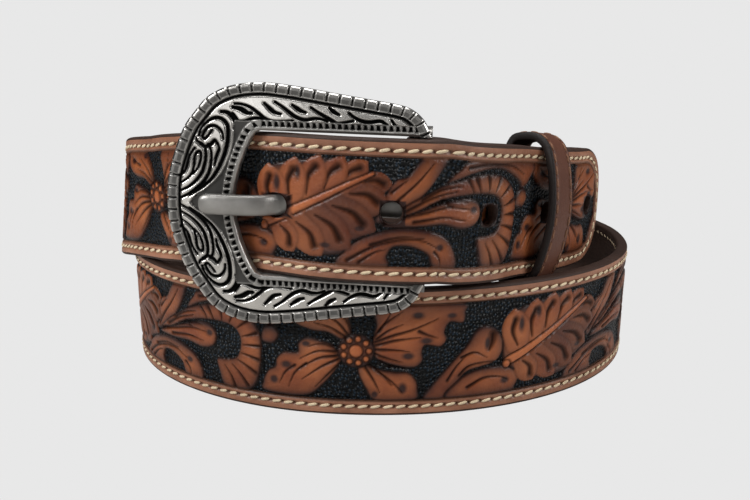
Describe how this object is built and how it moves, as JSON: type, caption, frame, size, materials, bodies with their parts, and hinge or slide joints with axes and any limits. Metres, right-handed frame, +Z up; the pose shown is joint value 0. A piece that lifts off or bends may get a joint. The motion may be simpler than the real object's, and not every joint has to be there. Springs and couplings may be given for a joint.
{
  "type": "tooled leather belt, buckled and coiled",
  "caption": "Western leather belt with carved floral strap, ornate buckle, prong and keeper, fastened and coiled in two turns on its edge.",
  "frame": {"origin": "under the middle of the whole belt, on the surface that it stands on", "axes": "+Z up, the buckle faces -Y, +X to the right of someone who looks at the buckle"},
  "size_m": [0.1818, 0.1548, 0.0948],
  "materials": {
    "strap_leather": "tooled, antiqued and lacquered",
    "keeper_leather": "smooth, waxed",
    "antique_silver": "cast, oxidised in the recesses and polished on the high places",
    "dark_steel": "satin"
  },
  "bodies": {
    "root": {"strap": "strap_leather", "buckle_frame": "antique_silver", "prong": "antique_silver", "keeper": "keeper_leather", "screw_post_1": "dark_steel", "screw_post_2": "dark_steel"}
  },
  "joints": []
}
